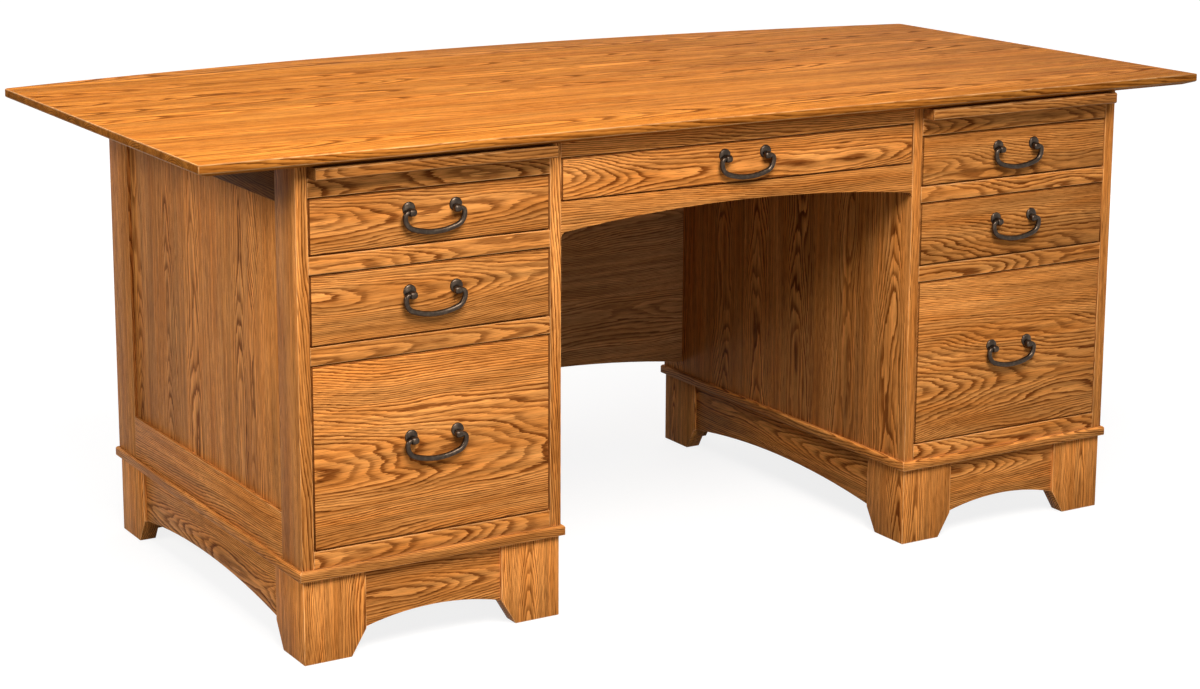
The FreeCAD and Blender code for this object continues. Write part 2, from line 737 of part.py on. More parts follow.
# Nothing is written unless every object is sound.
for item in doc.Objects:
    faults = {"Invalid", "Error"} & set(item.State)
    if faults:
        raise RuntimeError(f"{item.Label}: {faults}")
for item in SUB_PARTS:
    if item.Shape.isNull() or not item.Shape.isValid() or not item.Shape.Solids:
        raise RuntimeError(f"{item.Label} has no sound shape")

os.makedirs("parts", exist_ok=True)
for item in SUB_PARTS:
    item.Shape.exportStep(f"parts/{item.Label}.step")
print(f"{len(SUB_PARTS)} sub-parts, {sum(len(item.Shape.Solids) for item in SUB_PARTS)} solids")
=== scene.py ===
# %% [markdown]
# # An executive desk in stained oak
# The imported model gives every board, slide and pull its true place, in metres, with Z up. This lesson
# dresses it: each board gets eased edges and its own piece of oak, each pull its cast bronze form.
# Everything rides on the body that carries it, so drawers, writing boards and bails still move.

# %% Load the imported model
import bpy
import json
import math
import random
import numpy as np
from mathutils import Matrix, Vector


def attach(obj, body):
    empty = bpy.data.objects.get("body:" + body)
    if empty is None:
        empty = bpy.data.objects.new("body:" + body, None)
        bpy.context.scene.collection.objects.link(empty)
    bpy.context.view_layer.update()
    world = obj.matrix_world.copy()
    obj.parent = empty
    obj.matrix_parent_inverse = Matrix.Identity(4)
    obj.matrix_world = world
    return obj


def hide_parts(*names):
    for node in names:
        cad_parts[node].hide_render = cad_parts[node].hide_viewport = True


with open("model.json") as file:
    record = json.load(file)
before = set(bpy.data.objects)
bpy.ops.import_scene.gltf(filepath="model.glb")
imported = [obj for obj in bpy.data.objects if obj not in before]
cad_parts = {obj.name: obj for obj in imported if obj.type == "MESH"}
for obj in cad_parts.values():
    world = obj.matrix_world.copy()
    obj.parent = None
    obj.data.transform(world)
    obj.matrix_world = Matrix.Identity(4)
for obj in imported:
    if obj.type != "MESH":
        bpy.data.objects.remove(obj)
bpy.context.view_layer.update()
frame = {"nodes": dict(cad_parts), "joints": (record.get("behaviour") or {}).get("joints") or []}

# %% [markdown]
# ## Camera
# The view is from the user's side, front left, about 31 degrees round and a little above the top. A long
# lens keeps the perspective gentle. Uprights stay quite parallel if a level camera is shifted far down, as
# a view camera is, but every other view would keep that shift. So the shift is small, the camera looks down
# a little, and a quarter of a degree of roll levels the picture as it was taken.

# %% Camera
CAMERA_PLACE = (-2.1717, -3.5972, 1.3492)
AZIMUTH, ELEVATION, ROLL = math.radians(31.097), math.radians(11.379), math.radians(0.252)
SENSOR_MM, LENS_MM = 36, 75.34
SHIFT_DOWN = 0.10

bpy.ops.object.select_all(action="DESELECT")
bpy.ops.object.camera_add(location=CAMERA_PLACE)
camera = bpy.context.object
camera.name = "desk_camera"
ahead = Vector((math.sin(AZIMUTH) * math.cos(ELEVATION), math.cos(AZIMUTH) * math.cos(ELEVATION),
                -math.sin(ELEVATION)))
right = ahead.cross(Vector((0, 0, 1))).normalized()
upward = right.cross(ahead)
turned_right = math.cos(ROLL) * right + math.sin(ROLL) * upward
turned_up = math.cos(ROLL) * upward - math.sin(ROLL) * right
camera.rotation_euler = Matrix((turned_right, turned_up, -ahead)).transposed().to_euler()
camera.data.sensor_width = SENSOR_MM
camera.data.lens = LENS_MM
camera.data.shift_y = -SHIFT_DOWN
bpy.context.scene.camera = camera
print("camera lens:", camera.data.lens, "mm")

# %% [markdown]
# ## Nodes and colours
# Two small helpers serve every finish. One turns an sRGB hex value into the linear colour a shader wants.
# The other adds a node, sets it up and links it, so that a material reads as a list of steps.

# %% Helpers for materials
WHITE = (1, 1, 1, 1)


def linear(hex_colour):
    """An sRGB hex value as a linear RGBA colour."""
    parts = [int(hex_colour[i:i + 2], 16) / 255 for i in (1, 3, 5)]
    return [c / 12.92 if c <= 0.04045 else ((c + 0.055) / 1.055) ** 2.4 for c in parts] + [1.0]


def add(tree, kind, links=None, values=None, **settings):
    """Add a node, apply its settings and socket values, and link sockets to other nodes' outputs."""
    node = tree.nodes.new(kind)
    for name, value in settings.items():
        setattr(node, name, value)
    for socket, value in (values or {}).items():
        node.inputs[socket].default_value = value
    for socket, source in (links or {}).items():
        tree.links.new(source, node.inputs[socket])
    return node


def new_material(name):
    """An empty node material and the tree to fill."""
    material = bpy.data.materials.new(name)
    material.use_nodes = True
    material.node_tree.nodes.clear()
    return material, material.node_tree


print("mid grey in linear light:", round(linear("#808080")[0], 3))

# %% [markdown]
# ## Stage and light
# The desk stands on a plain white floor in front of a white background. Enough light to make both white
# would bleach the oak, so they are white only to the camera and in what the desk mirrors. Soft lamps
# light the desk: a wide one high in front, a weak one low in front, which reaches under the overhang and
# into the kneehole, one overhead, which makes the top the brightest face, one on the left and one behind. A
# weak, slightly blue world light fills the shadows.

# %% White surround
FILL_COLOUR, FILL_STRENGTH = "#E6EDFC", 0.20

scene = bpy.context.scene
scene.view_settings.view_transform = "Standard"
world = bpy.data.worlds.new("white_studio")
scene.world = world
world.use_nodes = True
world.node_tree.nodes.clear()
tree = world.node_tree
path = add(tree, "ShaderNodeLightPath")
seen = add(tree, "ShaderNodeMath", {0: path.outputs["Is Camera Ray"], 1: path.outputs["Is Transmission Ray"]},
           operation="MAXIMUM")
seen = add(tree, "ShaderNodeMath", {0: seen.outputs[0], 1: path.outputs["Is Glossy Ray"]}, operation="MAXIMUM")
fill = add(tree, "ShaderNodeBackground", values={"Color": linear(FILL_COLOUR), "Strength": FILL_STRENGTH})
white = add(tree, "ShaderNodeBackground", values={"Color": WHITE, "Strength": 1.0})
mixed = add(tree, "ShaderNodeMixShader", {0: seen.outputs[0], 1: fill.outputs[0], 2: white.outputs[0]})
add(tree, "ShaderNodeOutputWorld", {"Surface": mixed.outputs[0]})
print("world:", world.name, "with a fill of", FILL_STRENGTH)

# %% Floor
FLOOR_SIZE, FLOOR_DROP = 24, 0.0005
# near the desk the floor leaves room for its shadow; further away it is as white as the background
GLOW_START, GLOW_END, GLOW_NEAR = 1.0, 3.0, 0.84

floor_paint, tree = new_material("white_studio_floor")
path = add(tree, "ShaderNodeLightPath")
seen = add(tree, "ShaderNodeMath", {0: path.outputs["Is Camera Ray"], 1: path.outputs["Is Glossy Ray"]},
           operation="MAXIMUM")
matte = add(tree, "ShaderNodeBsdfDiffuse", values={"Color": linear("#70706E")})
pale = add(tree, "ShaderNodeBsdfDiffuse", values={"Color": linear("#7A7A7A")})
spot = add(tree, "ShaderNodeTexCoord")
away = add(tree, "ShaderNodeVectorMath", {0: spot.outputs["Object"]}, operation="LENGTH")
level = add(tree, "ShaderNodeMapRange", {"Value": away.outputs["Value"]},
            {"From Min": GLOW_START, "From Max": GLOW_END, "To Min": GLOW_NEAR, "To Max": 1.0})
glow = add(tree, "ShaderNodeEmission", {"Strength": level.outputs[0]}, {"Color": WHITE})
shown = add(tree, "ShaderNodeAddShader", {0: pale.outputs[0], 1: glow.outputs[0]})
mixed = add(tree, "ShaderNodeMixShader", {0: seen.outputs[0], 1: matte.outputs[0], 2: shown.outputs[0]})
add(tree, "ShaderNodeOutputMaterial", {"Surface": mixed.outputs[0]})

bpy.ops.object.select_all(action="DESELECT")
bpy.ops.mesh.primitive_plane_add(size=FLOOR_SIZE, location=(0, 0, -FLOOR_DROP))
floor = bpy.context.object
floor.name = "studio_floor"
floor.data.materials.append(floor_paint)
print("floor:", FLOOR_SIZE, "m wide")

# %% Lamps
LAMP_COLOUR = "#FFF9F2"


def soft_lamp(name, place, target, width, height, watts):
    """A rectangular soft lamp that faces a point."""
    bpy.ops.object.light_add(type="AREA", location=place)
    lamp = bpy.context.object
    lamp.name = name
    lamp.data.shape = "RECTANGLE"
    lamp.data.size, lamp.data.size_y = width, height
    lamp.data.energy = watts
    lamp.data.color = linear(LAMP_COLOUR)[:3]
    lamp.rotation_euler = (Vector(target) - Vector(place)).to_track_quat("-Z", "Y").to_euler()
    return lamp


soft_lamp("front_lamp", (-0.85, -2.6, 3.2), (-1.9, -0.2, 0.5), 2.2, 1.6, 215)
soft_lamp("low_front_lamp", (-0.5, -3.6, 1.0), (-0.1, 0, 0.5), 2.4, 1.2, 16)
soft_lamp("overhead_lamp", (-0.7, 0.4, 3.4), (-0.2, 0, 0.75), 2.4, 1.6, 46)
soft_lamp("left_lamp", (-3.4, -0.6, 2.1), (-0.6, -0.1, 0.45), 1.2, 1.0, 57)
back_lamp = soft_lamp("back_lamp", (2.2, 3.0, 1.2), (0.2, 0.2, 0.4), 2.0, 1.2, 42)
# it would glare in the top, so it lights the desk without being mirrored in it
back_lamp.visible_glossy = False

# %% [markdown]
# ## Stained red oak
# Red oak is ring-porous: every year's growth starts with a band of wide pores, which drink the stain and
# turn dark brown, and ends in dense wood, which stays honey coloured. A board is a cut through those rings.
# Near its middle the cut runs along a ring and draws tall arches; towards its edges it crosses the rings
# and draws close lines. A flat pattern could be laid on every face, but it would not turn a corner as wood
# does. So the finish is solid: it asks how far a point is from the heart of the log. Each board carries
# that place in an attribute called grain, in metres: along the board, across it, into the log. A second
# attribute, tone, makes some boards lighter than others, as boards from different trees are; on a few
# boards it also carries painted shade and painted light.

# %% Rings of a log
# the rings lean, because a log tapers: so many metres further out per metre of board
RING_LEAN = 0.035
# waves per metre along the grain, per metre across it, and their detail
SLOW_WAVES, RIPPLES, FRAYING = (2.6, 11, 1.5), (12, 60, 2.0), (24, 620, 2.0)
# how far ripples move a ring, in metres, and how far pores fray its edge, in rings
RIPPLE_DEPTH, FRAY_DEPTH = 0.0036, 0.55


def grain_waves(tree, grain, per_metre_along, per_metre_across, detail):
    """A cloudy pattern that is drawn out along the grain."""
    stretched = add(tree, "ShaderNodeVectorMath", {0: grain.outputs["Vector"]},
                    {1: (per_metre_along, per_metre_across, per_metre_across)}, operation="MULTIPLY")
    return add(tree, "ShaderNodeTexNoise", {"Vector": stretched.outputs[0]},
               {"Scale": 1.0, "Detail": detail, "Roughness": 0.55}).outputs["Fac"]


def ring_count(tree, grain, ring_mm, sway):
    """The distance from the heart of the log, counted in rings; it drifts in slow waves, sway metres deep."""
    across = add(tree, "ShaderNodeVectorMath", {0: grain.outputs["Vector"]}, {1: (0, 1, 1)},
                 operation="MULTIPLY")
    distance = add(tree, "ShaderNodeVectorMath", {0: across.outputs[0]}, operation="LENGTH").outputs["Value"]
    along = add(tree, "ShaderNodeSeparateXYZ", {0: grain.outputs["Vector"]}).outputs["X"]
    distance = add(tree, "ShaderNodeMath", {0: along, 2: distance}, {1: RING_LEAN},
                   operation="MULTIPLY_ADD").outputs[0]
    for waves, metres in ((SLOW_WAVES, sway), (RIPPLES, RIPPLE_DEPTH)):
        distance = add(tree, "ShaderNodeMath", {0: grain_waves(tree, grain, *waves), 2: distance}, {1: metres},
                       operation="MULTIPLY_ADD").outputs[0]
    rings = add(tree, "ShaderNodeMath", {0: distance}, {1: 1000 / ring_mm}, operation="MULTIPLY").outputs[0]
    return add(tree, "ShaderNodeMath", {0: grain_waves(tree, grain, *FRAYING), 2: rings}, {1: FRAY_DEPTH},
               operation="MULTIPLY_ADD").outputs[0]


print("slow waves per metre of board:", SLOW_WAVES[0])

# %% Dark bands and pores
# place within a ring, from one year to the next, and how dark the wood is there
BAND_STOPS = ((0.0, 0.15), (0.05, 1.0), (0.26, 0.92), (0.44, 0.40), (0.68, 0.10), (1.0, 0.0))
WEAKEST_YEAR = 0.55
# pores: real ones are 0.3 mm wide, drawn about 1 mm wide so that they show at this distance
PORES = (36, 950, 2.0)
# how densely pores lie everywhere, and how many more lie in the dark bands
PORES_ALL_OVER, PORES_IN_BANDS = 0.40, 0.55


def dark_band(tree, rings):
    """How dark a point is within its ring; some years are darker than others."""
    year = add(tree, "ShaderNodeMath", {0: rings}, operation="FLOOR").outputs[0]
    phase = add(tree, "ShaderNodeMath", {0: rings}, operation="FRACT").outputs[0]
    strength = add(tree, "ShaderNodeTexWhiteNoise", {"W": year}, noise_dimensions="1D").outputs["Value"]
    band = add(tree, "ShaderNodeValToRGB", {"Fac": phase})
    ramp = band.color_ramp
    while len(ramp.elements) < len(BAND_STOPS):
        ramp.elements.new(0.5)
    for stop, (place, value) in zip(ramp.elements, BAND_STOPS):
        stop.position = place
        stop.color = (value, value, value, 1)
    weight = add(tree, "ShaderNodeMapRange", {"Value": strength},
                 {"To Min": WEAKEST_YEAR, "To Max": 1.0}).outputs[0]
    return add(tree, "ShaderNodeMath", {0: band.outputs["Color"], 1: weight}, operation="MULTIPLY").outputs[0]


def open_pores(tree, grain, band):
    """Short dark lines along the grain, which crowd in the dark bands."""
    pores = add(tree, "ShaderNodeMapRange", {"Value": grain_waves(tree, grain, *PORES)},
                {"From Min": 0.51, "From Max": 0.66}).outputs[0]
    crowd = add(tree, "ShaderNodeMath", {0: band}, {1: PORES_IN_BANDS, 2: PORES_ALL_OVER},
                operation="MULTIPLY_ADD").outputs[0]
    return add(tree, "ShaderNodeMath", {0: pores, 1: crowd}, operation="MULTIPLY").outputs[0]


print("stops of a year's band:", len(BAND_STOPS))

# %% Oak finish
COLOUR_DRIFT = (5, 42, 3.0)
STREAK_DETAIL = 3.0
# the lacquer fills most of the pores, so they dull the gloss a little and dent the surface a little
PORE_DULLING, DENT_STRENGTH, DENT_DEPTH = 0.16, 0.22, 0.0006


def oak_finish(name, light, honey, dark, pore, ring_mm=2.4, roughness=0.36, specular=0.02, sway=0.040,
               streaks=(4, 130)):
    """Oak under satin lacquer: ring bands with frayed edges, pores along the grain, slow drifts of colour."""
    material, tree = new_material(name)
    grain = add(tree, "ShaderNodeAttribute", attribute_name="grain")
    tone = add(tree, "ShaderNodeAttribute", attribute_name="tone")
    band = dark_band(tree, ring_count(tree, grain, ring_mm, sway))
    pores = open_pores(tree, grain, band)

    # colours: honey drifting to light, darkened by the bands and the pores, then by the board's tone, which
    # also holds the painted shade and light of a few boards
    drift = add(tree, "ShaderNodeMapRange", {"Value": grain_waves(tree, grain, *COLOUR_DRIFT)},
                {"From Min": 0.34, "From Max": 0.66}).outputs[0]
    ground = add(tree, "ShaderNodeMix", {0: drift}, {6: linear(honey), 7: linear(light)}, data_type="RGBA")
    figured = add(tree, "ShaderNodeMix", {0: band, 6: ground.outputs[2]}, {7: linear(dark)}, data_type="RGBA")
    pored = add(tree, "ShaderNodeMix", {0: pores, 6: figured.outputs[2]}, {7: linear(pore)}, data_type="RGBA")
    # good and lean years leave streaks a few millimetres wide, which the eye still sees along a distant top
    years = add(tree, "ShaderNodeMapRange", {"Value": grain_waves(tree, grain, *streaks, STREAK_DETAIL)},
                {"From Min": 0.36, "From Max": 0.62, "To Min": 0.70, "To Max": 1.08}).outputs[0]
    shade = add(tree, "ShaderNodeMath", {0: years, 1: tone.outputs["Fac"]}, operation="MULTIPLY")
    toned = add(tree, "ShaderNodeVectorMath", {0: pored.outputs[2], "Scale": shade.outputs[0]},
                operation="SCALE")

    gloss = add(tree, "ShaderNodeMapRange", {"Value": band},
                {"To Min": roughness, "To Max": roughness + PORE_DULLING})
    depth = add(tree, "ShaderNodeMath", {0: band, 1: pores}, operation="ADD")
    dents = add(tree, "ShaderNodeBump", {"Height": depth.outputs[0]},
                {"Strength": DENT_STRENGTH, "Distance": DENT_DEPTH}, invert=True)
    wood = add(tree, "ShaderNodeBsdfPrincipled",
               {"Base Color": toned.outputs[0], "Roughness": gloss.outputs[0], "Normal": dents.outputs[0]},
               {"Specular IOR Level": specular})
    add(tree, "ShaderNodeOutputMaterial", {"Surface": wood.outputs[0]})
    return material


print("depth of the dents:", DENT_DEPTH * 1000, "mm")

# %% [markdown]
# ## Six woods
# One recipe makes all of them; only colours, ring widths and shine differ. The finish mirrors far less than a
# fresh lacquer does, because the desk in the picture shows no white surround in its boards.

# %% Make the woods
# stained oak: the body of every board; its arrises, rubbed where stain is thin, and painted paler as a
# highlight where the lacquer catches light
STAINED_OAK = oak_finish("stained_red_oak", "#EBA055", "#DA8A40", "#753B11", "#582A0C")
RUBBED_HIGHLIGHT_OAK = oak_finish("stained_red_oak_rubbed_arris", "#F2B678", "#E9A662", "#BC7A3E", "#9A5E2A",
                        roughness=0.30)
# the top: quieter, wider boards, a little more orange, with long streaks and hardly any shine at a low angle
TOP_OAK = oak_finish("stained_red_oak_top", "#EC9A42", "#D48030", "#7A3F11", "#5C2F0C", ring_mm=3.6,
                     roughness=0.42, specular=0.002, sway=0.020, streaks=(2.0, 64))
# edges of the drawer fronts: stain gathers there, and their dark is also painted shade for the gap round each
# front; it outlines every drawer in dark brown
GATHERED_STAIN_AND_GAP_SHADE_OAK = oak_finish("stained_red_oak_dark_edge", "#8A5024", "#7C451D", "#54290D", "#3E1E09")
# oak veneer of the modesty panel: the same figure, greyer and less red than the solid boards; the grey is
# partly painted, standing for the grey cast of the deep shade in the kneehole
VENEER_SHADE_GREY_OAK = oak_finish("stained_oak_veneer", "#DDA26A", "#D2945A", "#82522C", "#613A1C")
# pale hardwood of the drawer boxes: close-grained, clear lacquered, with faint rings
PALE_WOOD = oak_finish("clear_lacquered_maple", "#E9CFA2", "#E2C292", "#CFA872", "#C29A64", ring_mm=3.4,
                       roughness=0.42)
woods = (STAINED_OAK, RUBBED_HIGHLIGHT_OAK, TOP_OAK, GATHERED_STAIN_AND_GAP_SHADE_OAK, VENEER_SHADE_GREY_OAK, PALE_WOOD)
print("wood finishes:", [wood.name for wood in woods])

# %% [markdown]
# ## Boards
# The CAD boards have the right shape, but sharp edges and no grain. They could be modelled again, but a
# copy keeps every tenon and gap true. Each node's mesh is copied and welded, one solid at a time, because
# boards that touch share corners. A bevel then eases every edge, and its own faces take the arris finish.
# On most boards that is the rubbed finish, which draws the fine pale lines along a lacquered desk's edges:
# partly wear where the stain is rubbed thin, partly a painted highlight.

# %% Weld a copy of a CAD node, solid by solid
WELD_PER_METRE = 1e5


def welded_copy(node):
    """A new object with the node's shape: closed solids follow one another, and each is welded on its own."""
    mesh = frame["nodes"][node].data
    corners = [tuple(round(c * WELD_PER_METRE) for c in vertex.co) for vertex in mesh.vertices]
    points, numbers, faces = [], {}, []
    open_edges, solid = set(), 0
    for face in mesh.polygons:
        ring = [corners[i] for i in face.vertices]
        faces.append([])
        for here, there, index in zip(ring, ring[1:] + ring[:1], face.vertices):
            if (solid, here) not in numbers:
                numbers[solid, here] = len(points)
                points.append(mesh.vertices[index].co[:])
            faces[-1].append(numbers[solid, here])
            open_edges.symmetric_difference_update({(min(here, there), max(here, there))})
        solid += not open_edges
    copy = bpy.data.meshes.new(f"{node}_shown")
    copy.from_pydata(points, [], faces)
    piece = bpy.data.objects.new(f"{node}_shown", copy)
    bpy.context.scene.collection.objects.link(piece)
    return piece


print("corners are welded to", 1000 / WELD_PER_METRE, "mm")

# %% Ease the edges
FLAT_ANGLE, EDGE_ANGLE, SMOOTH_ANGLE = math.radians(0.4), math.radians(28), math.radians(32)
ARRIS_SEGMENTS = 2


def activate(piece):
    """Select one object and nothing else."""
    bpy.ops.object.select_all(action="DESELECT")
    piece.select_set(True)
    bpy.context.view_layer.objects.active = piece


def ease_edges(piece, arris_mm, finish, rubbed):
    """Join coplanar triangles, round the edges and give the rounded faces the arris finish."""
    activate(piece)
    piece.data.materials.append(finish)
    piece.data.materials.append(rubbed)
    bpy.ops.object.mode_set(mode="EDIT")
    bpy.ops.mesh.select_all(action="SELECT")
    bpy.ops.mesh.dissolve_limited(angle_limit=FLAT_ANGLE)
    bpy.ops.object.mode_set(mode="OBJECT")
    bevel = piece.modifiers.new("eased_edges", "BEVEL")
    bevel.width = arris_mm / 1000
    bevel.segments = ARRIS_SEGMENTS
    bevel.limit_method = "ANGLE"
    bevel.angle_limit = EDGE_ANGLE
    bevel.material = 1
    bpy.ops.object.modifier_apply(modifier=bevel.name)
    bpy.ops.object.shade_smooth_by_angle(angle=SMOOTH_ANGLE)


print("edges are eased from", round(math.degrees(EDGE_ANGLE)), "degrees")

# %% [markdown]
# ## Timber
# A sawyer cuts each board from some place in some log. One log for the whole desk would let its rings run
# on from board to board. So every separate board of a piece is found, gets a place in a log of its own, and
# stores it in its grain attribute, with the grain along its longest side. A flat-sawn board has the heart
# of the log behind its face, which gives the tall arches of the drawer fronts. Narrow boards come from
# further out, where the lines run straight.

# %% Give each board its place in a log
# a board comes from anywhere along so many metres of log, so that no two boards share a figure
LOG_REACH = 40
# a board sawn on purpose: its depth in the log, in shares of its width, which counts as this much at least
FLAT_DEPTH, LEAST_WIDTH = (0.45, 0.65), 0.1
# a wide board is likely to be flat-sawn too: from this width, how likely, how far aside and how deep
WIDE_BOARD, WIDE_LIKELY = 0.072, 0.7
WIDE_ASIDE, WIDE_DEPTH = 0.3, (0.035, 0.065)
# any other board comes from further out
OUTER_ASIDE, OUTER_DEPTH = (0.06, 0.10), (0.07, 0.10)


def log_place(local, width, chance, heart):
    """A board's coordinates moved to a place in a log; its heart lies where asked, or where chance has it."""
    if heart is not None:
        aside, depth = heart * width, chance.uniform(*FLAT_DEPTH) * max(width, LEAST_WIDTH)
    elif width > WIDE_BOARD and chance.random() < WIDE_LIKELY:
        aside, depth = chance.uniform(-WIDE_ASIDE, WIDE_ASIDE) * width, chance.uniform(*WIDE_DEPTH)
    else:
        aside, depth = chance.choice((-1, 1)) * chance.uniform(*OUTER_ASIDE), chance.uniform(*OUTER_DEPTH)
    return local + np.array((chance.uniform(-LOG_REACH, LOG_REACH), aside, depth))


def write_grain(mesh, place, tone):
    """Store grain and tone for every face corner."""
    grain = mesh.attributes.new("grain", "FLOAT_VECTOR", "CORNER")
    grain.data.foreach_set("vector", place.astype(np.float32).ravel())
    mesh.attributes.new("tone", "FLOAT", "CORNER").data.foreach_set("value", tone.astype(np.float32))


print("boards wider than", WIDE_BOARD * 1000, "mm are mostly flat-sawn")

# %% Grain every board of a piece
def islands(mesh):
    """The number of the separate board that each vertex belongs to."""
    label = np.arange(len(mesh.vertices))
    ends = np.array([edge.vertices[:] for edge in mesh.edges])
    while True:
        lowest = np.minimum(label[ends[:, 0]], label[ends[:, 1]])
        before = label.copy()
        np.minimum.at(label, ends[:, 0], lowest)
        np.minimum.at(label, ends[:, 1], lowest)
        label = label[label]
        if (label == before).all():
            return label


def grain_boards(piece, along, tones, heart):
    """Every board of the piece becomes its own piece of timber, with its grain along its longest side."""
    mesh = piece.data
    loops = np.empty(len(mesh.loops), int)
    mesh.loops.foreach_get("vertex_index", loops)
    points = np.array([vertex.co[:] for vertex in mesh.vertices])
    board_of = islands(mesh)
    place, tone = np.zeros((len(loops), 3)), np.ones(len(loops))
    for board in np.unique(board_of):
        own = points[board_of == board]
        low, high = own.min(0), own.max(0)
        order = np.argsort(low - high)
        if along is not None:
            order = np.array([along] + [axis for axis in order if axis != along])
        chance = random.Random(f"{piece.name} {board}")
        corner = board_of[loops] == board
        local = (points[loops[corner]] - (low + high) / 2)[:, order]
        place[corner] = log_place(local, (high - low)[order[1]], chance, heart)
        tone[corner] = chance.uniform(*tones)
    write_grain(mesh, place, tone)
    print(piece.name, "boards:", len(np.unique(board_of)))


# %% Glue up a wide board from planks
def glue_up(piece, along, across, shares, tones, heart):
    """Cut a wide board's faces along its glue lines and give each strip a place in a log of its own."""
    mesh = piece.data
    points = np.array([vertex.co[:] for vertex in mesh.vertices])
    low, high = points.min(0), points.max(0)
    lines = low[across] + np.concatenate(([0], np.cumsum(shares))) / sum(shares) * (high - low)[across]
    normal = [float(axis == across) for axis in range(3)]
    activate(piece)
    bpy.ops.object.mode_set(mode="EDIT")
    for line in lines[1:-1]:
        bpy.ops.mesh.select_all(action="SELECT")
        bpy.ops.mesh.bisect(plane_co=[line * axis for axis in normal], plane_no=normal)
    bpy.ops.object.mode_set(mode="OBJECT")

    order = [along, across, 3 - along - across]
    place, tone = np.zeros((len(mesh.loops), 3)), np.ones(len(mesh.loops))
    for face in mesh.polygons:
        own = face.loop_indices
        plank = int(np.clip(np.searchsorted(lines, face.center[across]) - 1, 0, len(shares) - 1))
        chance = random.Random(f"{piece.name} plank {plank}")
        middle = (low + high) / 2
        middle[across] = (lines[plank] + lines[plank + 1]) / 2
        local = np.array([mesh.vertices[mesh.loops[i].vertex_index].co[:] for i in own]) - middle
        place[own] = log_place(local[:, order], lines[plank + 1] - lines[plank], chance, heart)
        tone[own] = chance.uniform(*tones)
    write_grain(mesh, place, tone)
    print(piece.name, "is glued up from", len(shares), "planks")


# %% Dress one node
X, Y, Z = 0, 1, 2
USUAL_TONES = (0.9, 1.06)


def dress(node, body, arris_mm, finish=STAINED_OAK, rubbed=RUBBED_HIGHLIGHT_OAK, along=None, planks=None,
          tones=USUAL_TONES, heart=None):
    """Replace a CAD node by its eased, grained copy; a wide board is glued up from planks."""
    piece = welded_copy(node)
    ease_edges(piece, arris_mm, finish, rubbed)
    if planks:
        glue_up(piece, along, *planks, tones, heart)
    else:
        grain_boards(piece, along, tones, heart)
    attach(piece, body)
    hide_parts(node)
    return piece


print("tones of most boards:", USUAL_TONES)

# %% [markdown]
# ## The case
# Two pedestals of framed panels, rails and bands stand on bracket feet, with an apron and a modesty panel
# between them. Most boards have their grain along their longest side; the side panels and the kneehole
# sides are wider than they are tall, and their grain stands upright, so they are glued up from planks. The
# front rails are flat-sawn, like the drawer fronts beside them. One easing for all would open the flush
# joints, so those get a hair of it and edges that a hand meets get more.

# %% Dress the pedestals
# painted shade: the upper rail of a side, right under the overhang, is darkened to stand for the overhang's
# shadow
SHADED_ABOVE, SHADED_SHARE = 0.6, 0.32
RAIL_HEART = 0.2
SIDE_PLANKS, KNEE_PLANKS = (5, 4, 6, 5, 4), (5, 6, 4, 5, 5, 6)
WRITING_BOARD_TONES = {"left": (0.48, 0.52), "right": (0.66, 0.70)}


def paint_overhang_shade(piece, height, share):
    """Paint shade on those boards of a piece that lie wholly above a height, by darkening their tone."""
    mesh = piece.data
    board_of = islands(mesh)
    lowest = {}
    for vertex, board in zip(mesh.vertices, board_of):
        lowest[board] = min(lowest.get(board, vertex.co.z), vertex.co.z)
    for loop, value in zip(mesh.loops, mesh.attributes["tone"].data):
        if lowest[board_of[loop.vertex_index]] > height:
            value.value *= share


made = []
for side in ("left", "right"):
    made.append(dress(f"{side}_side_frame", "desk", arris_mm=0.6))
    paint_overhang_shade(made[-1], SHADED_ABOVE, SHADED_SHARE)
    made.append(dress(f"{side}_drawer_rails", "desk", arris_mm=1.0, heart=RAIL_HEART))
    made.append(dress(f"{side}_feet", "desk", arris_mm=1.2, tones=(1.02, 1.2)))
    for part in ("base_band", "plinth_rails"):
        made.append(dress(f"{side}_{part}", "desk", arris_mm=1.0))
    made.append(dress(f"{side}_side_panel", "desk", arris_mm=0.5, along=Z,
                      planks=(Y, SIDE_PLANKS), tones=(0.82, 1.07)))
    made.append(dress(f"{side}_knee_side", "desk", arris_mm=0.8, along=Z,
                      planks=(Y, KNEE_PLANKS), tones=(0.92, 1.1)))
    made.append(dress(f"{side}_writing_board", f"{side}_board", arris_mm=0.8, along=X,
                      tones=WRITING_BOARD_TONES[side]))
print("pieces of the pedestals and writing boards:", len(made))

# %% Dress the middle and the back
MODESTY_PLANKS = (5, 6, 5, 4)

# painted light: the centre top rail lies in the overhang's shade, so its tone is raised above the usual to
# lighten it
made.append(dress("centre_top_rail", "desk", arris_mm=0.6, tones=(1.08, 1.12)))
made.append(dress("centre_apron", "desk", arris_mm=1.0, tones=(0.84, 0.92)))
for part, arris in (("pedestal_back_frames", 0.6), ("pedestal_back_panels", 0.5), ("pedestal_bottoms", 0.5)):
    made.append(dress(part, "desk", arris))
made.append(dress("modesty_panel", "desk", arris_mm=0.8, finish=VENEER_SHADE_GREY_OAK, rubbed=VENEER_SHADE_GREY_OAK,
                  along=X, planks=(Z, MODESTY_PLANKS), tones=(0.84, 0.93)))
made.append(dress("writing_board_runners", "desk", arris_mm=0.8, finish=PALE_WOOD,
                  rubbed=PALE_WOOD))
print("pieces of the case:", len(made))

# %% [markdown]
# ## The drawers
# Each front is one flat-sawn board, so its arches are as wide as the board is high. Chance could place
# them, but a maker picks the boards that show, so every front has its heart and its tone listed. Its
# edges are darker: stain gathers there, and the dark is also painted shade for the gap round the front.
# The boxes behind are a pale hardwood under clear lacquer.

# %% Dress the drawers
KINDS = ("file", "middle", "shallow")
DRAWERS = ["centre"] + [f"{side}_{kind}" for side in ("left", "right") for kind in KINDS]
